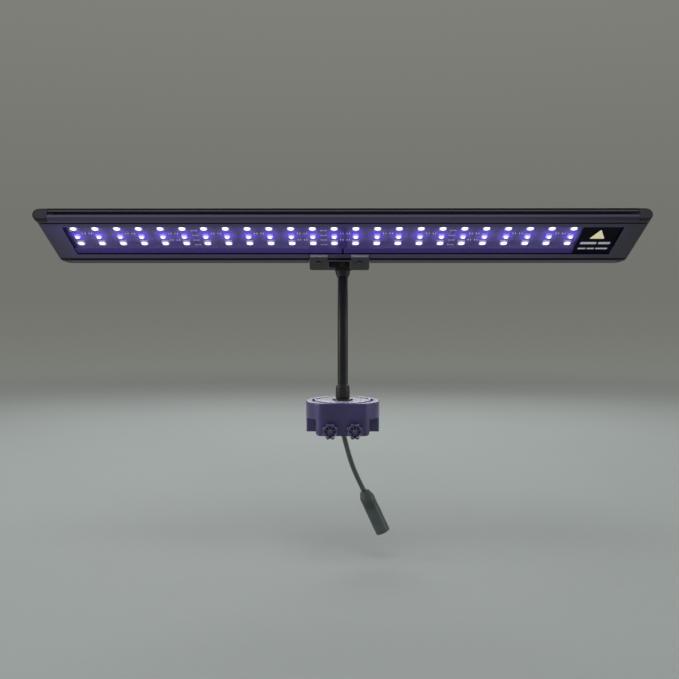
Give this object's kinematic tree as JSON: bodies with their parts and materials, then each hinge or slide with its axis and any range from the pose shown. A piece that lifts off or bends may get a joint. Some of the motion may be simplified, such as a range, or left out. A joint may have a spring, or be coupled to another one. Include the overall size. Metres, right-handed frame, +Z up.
{
  "type": "aquarium light",
  "caption": "Slim bar light for a fish tank on a bendable neck, with a swivelling round clamp that grips the glass rim by thumb screws.",
  "frame": {"origin": "on the swivel axis, at the height of the glass edge that the clamp's seat pad rests on", "axes": "+Z up along the swivel axis, +X along the lamp head to the right, -Y towards the thumb screws and the user"},
  "size_m": [0.42, 0.0701, 0.2411],
  "materials": {
    "anodised_black": "satin black anodised extrusion with fine lengthwise grain",
    "cap_plastic": "lightly speckled moulded black plastic",
    "bezel_black": "satin black painted sheet",
    "lens_clear": "clear moulded cover",
    "rubber_black": "soft black rubber",
    "label_dark": "dark printed film with a plain pale triangle and two plain bars",
    "board_mask": "black solder mask",
    "led_white": "white light emitter, lit",
    "led_violet": "violet-blue light emitter, lit",
    "resistor": "ceramic chip with bright ends",
    "solder": "solder",
    "chip_black": "moulded component body",
    "screw_black": "black zinc screw",
    "screw_steel": "bright zinc screw",
    "wire_sleeve": "insulated wire",
    "bracket_black": "satin black powder coat",
    "neck_sleeve": "smooth satin black sleeve over a wound steel core",
    "disc_plastic": "satin dark plastic with a notched edge",
    "clamp_plastic": "satin purple-black moulded plastic",
    "knob_plastic": "glossy dark moulded plastic",
    "brass_insert": "knurled brass",
    "cable_jacket": "flexible dark grey jacket",
    "contact_metal": "plated contact"
  },
  "bodies": {
    "clamp": {"clamp_body": "clamp_plastic", "rear_jaw": "clamp_plastic", "base_screws": "screw_black", "seat_pad": "rubber_black", "rear_jaw_pad": "rubber_black", "thread_inserts": "brass_insert", "swivel_bush": "cap_plastic", "strain_relief": "rubber_black", "power_cable": "cable_jacket", "supply_leads": "wire_sleeve", "dc_socket_body": "cable_jacket", "dc_socket_sleeve": "contact_metal", "dc_socket_pin": "contact_metal"},
    "turntable": {"swivel_disc": "disc_plastic", "neck_flange": "bracket_black", "lower_ferrule": "bracket_black", "swivel_clip": "screw_steel", "hub_nut": "screw_steel"},
    "neck_1": {"neck_link_1": "neck_sleeve"},
    "neck_2": {"neck_link_2": "neck_sleeve"},
    "neck_3": {"neck_link_3": "neck_sleeve"},
    "neck_4": {"neck_link_4": "neck_sleeve"},
    "neck_5": {"neck_link_5": "neck_sleeve"},
    "neck_6": {"neck_link_6": "neck_sleeve"},
    "neck_7": {"neck_link_7": "neck_sleeve"},
    "neck_8": {"neck_link_8": "neck_sleeve"},
    "head": {"housing_extrusion": "anodised_black", "end_cap_left": "cap_plastic", "end_cap_right": "cap_plastic", "end_cap_screws": "screw_black", "face_bezel": "bezel_black", "lens_gasket": "rubber_black", "cover_lens": "lens_clear", "info_label": "label_dark", "led_boards": "board_mask", "white_leds": "led_white", "blue_leds": "led_violet", "board_resistors": "resistor", "board_links": "solder", "board_screws": "screw_black", "terminal_board": "board_mask", "driver_chips": "chip_black", "head_leads": "wire_sleeve", "lead_in_cable": "cable_jacket", "entry_grommet": "rubber_black", "neck_bracket": "bracket_black", "bracket_screws": "screw_black", "bracket_cap": "cap_plastic", "ferrule_nut": "screw_steel", "upper_ferrule": "bracket_black"},
    "left_foot": {"pressure_foot_left": "screw_steel", "foot_rubber_left": "rubber_black"},
    "left_screw": {"thumb_screw_left": "screw_steel", "thumb_knob_left": "knob_plastic"},
    "right_foot": {"pressure_foot_right": "screw_steel", "foot_rubber_right": "rubber_black"},
    "right_screw": {"thumb_screw_right": "screw_steel", "thumb_knob_right": "knob_plastic"}
  },
  "joints": [
    {"name": "base_swivel", "type": "hinge", "parent": "clamp", "child": "turntable", "pos_m": [0, 0, 0.013], "axis": [0, 0, 1], "range_deg": [-150, 150]},
    {"name": "neck_bend_1", "type": "hinge", "parent": "turntable", "child": "neck_1", "pos_m": [0, 0, 0.0247], "axis": [1, 0, 0], "range_deg": [-15, 15], "stiffness_Nm_per_rad": 10},
    {"name": "neck_lean_1", "type": "hinge", "parent": "neck_1", "child": "neck_2", "pos_m": [0, 0, 0.03459], "axis": [0, 1, 0], "range_deg": [-15, 15], "stiffness_Nm_per_rad": 10},
    {"name": "neck_bend_2", "type": "hinge", "parent": "neck_2", "child": "neck_3", "pos_m": [0, 0, 0.04448], "axis": [1, 0, 0], "range_deg": [-15, 15], "stiffness_Nm_per_rad": 10},
    {"name": "neck_lean_2", "type": "hinge", "parent": "neck_3", "child": "neck_4", "pos_m": [0, 0.00037, 0.05436], "axis": [0, 0.9972, -0.0753], "range_deg": [-15, 15], "stiffness_Nm_per_rad": 10},
    {"name": "neck_bend_3", "type": "hinge", "parent": "neck_4", "child": "neck_5", "pos_m": [0, 0.00149, 0.06419], "axis": [1, 0, 0], "range_deg": [-15, 15], "stiffness_Nm_per_rad": 10},
    {"name": "neck_lean_3", "type": "hinge", "parent": "neck_5", "child": "neck_6", "pos_m": [0, 0.00336, 0.0739], "axis": [0, 0.974, -0.2264], "range_deg": [-15, 15], "stiffness_Nm_per_rad": 10},
    {"name": "neck_bend_4", "type": "hinge", "parent": "neck_6", "child": "neck_7", "pos_m": [0, 0.00596, 0.08344], "axis": [1, 0, 0], "range_deg": [-15, 15], "stiffness_Nm_per_rad": 10},
    {"name": "neck_lean_4", "type": "hinge", "parent": "neck_7", "child": "neck_8", "pos_m": [0, 0.00929, 0.09275], "axis": [0, 0.9281, -0.3723], "range_deg": [-15, 15], "stiffness_Nm_per_rad": 10},
    {"name": "neck_bend_5", "type": "hinge", "parent": "neck_8", "child": "head", "pos_m": [0, 0.01332, 0.10178], "axis": [1, 0, 0], "range_deg": [-15, 15], "stiffness_Nm_per_rad": 10},
    {"name": "left_foot_travel", "type": "slide", "parent": "clamp", "child": "left_foot", "axis": [0, 1, 0], "range_m": [-0.0064, 0.0033]},
    {"name": "left_screw_turn", "type": "hinge", "parent": "left_foot", "child": "left_screw", "pos_m": [-0.0087, -0.02, -0.0058], "axis": [0, 1, 0], "range_deg": [-3291.93, 1697.64]},
    {"name": "right_foot_travel", "type": "slide", "parent": "clamp", "child": "right_foot", "axis": [0, 1, 0], "range_m": [-0.0064, 0.0033]},
    {"name": "right_screw_turn", "type": "hinge", "parent": "right_foot", "child": "right_screw", "pos_m": [0.0087, -0.02, -0.0058], "axis": [0, 1, 0], "range_deg": [-3291.93, 1697.64]}
  ],
  "couplings": [
    {"joint": "neck_bend_2", "follows": "neck_bend_1", "ratio": 1},
    {"joint": "neck_lean_2", "follows": "neck_lean_1", "ratio": 1},
    {"joint": "neck_bend_3", "follows": "neck_bend_1", "ratio": 1},
    {"joint": "neck_lean_3", "follows": "neck_lean_1", "ratio": 1},
    {"joint": "neck_bend_4", "follows": "neck_bend_1", "ratio": 1},
    {"joint": "neck_lean_4", "follows": "neck_lean_1", "ratio": 1},
    {"joint": "neck_bend_5", "follows": "neck_bend_1", "ratio": 1},
    {"joint": "left_screw_turn", "follows": "left_foot_travel", "rad_per_m": 8976},
    {"joint": "right_screw_turn", "follows": "right_foot_travel", "rad_per_m": 8976}
  ]
}
